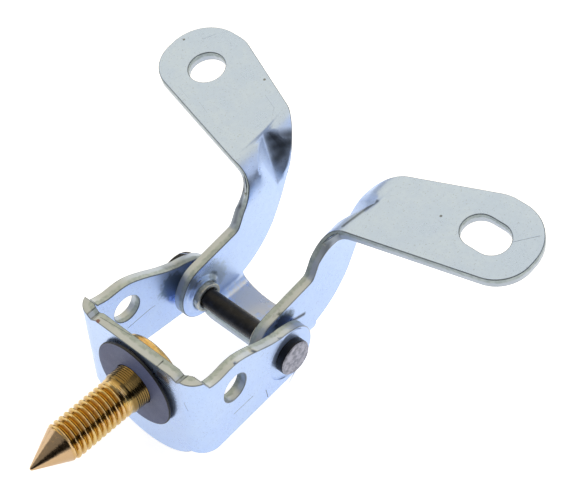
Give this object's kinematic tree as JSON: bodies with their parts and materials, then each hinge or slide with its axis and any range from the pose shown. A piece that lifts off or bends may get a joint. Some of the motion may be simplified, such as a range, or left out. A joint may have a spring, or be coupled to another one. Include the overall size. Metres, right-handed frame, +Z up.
{
  "type": "liftgate hinge",
  "caption": "Pressed-steel liftgate hinge: clevis with a cone-point threaded stud, pivoting on a pin in a U bracket whose arms fold out into drilled paddles.",
  "frame": {"origin": "on the stud axis at the inner end of the stud's thread, 7.0 mm in front of the clevis front wall's outer face", "axes": "+X along the hinge pin towards its riveted end and the slotted paddle, +Y from the stud towards the arms, +Z up"},
  "size_m": [0.115, 0.1148, 0.0456],
  "materials": {
    "clevis_zinc": "clear blue-white zinc plate",
    "arm_zinc": "clear blue-white zinc plate",
    "bush_steel": "bare turned steel",
    "pin_black": "satin black coat, riveted end bare",
    "stud_yellow": "yellow zinc plate",
    "seal_rubber": "matt black"
  },
  "bodies": {
    "clevis_side": {"clevis": "clevis_zinc", "stud": "stud_yellow", "seal_washer": "seal_rubber", "hinge_pin": "pin_black"},
    "arm_side": {"arm_bracket": "arm_zinc", "bush_left": "bush_steel", "bush_right": "bush_steel"}
  },
  "joints": [
    {"name": "pin_hinge", "type": "hinge", "parent": "clevis_side", "child": "arm_side", "pos_m": [0, 0.0383, -0.0052], "axis": [1, 0, 0], "range_deg": [-10, 90]}
  ]
}
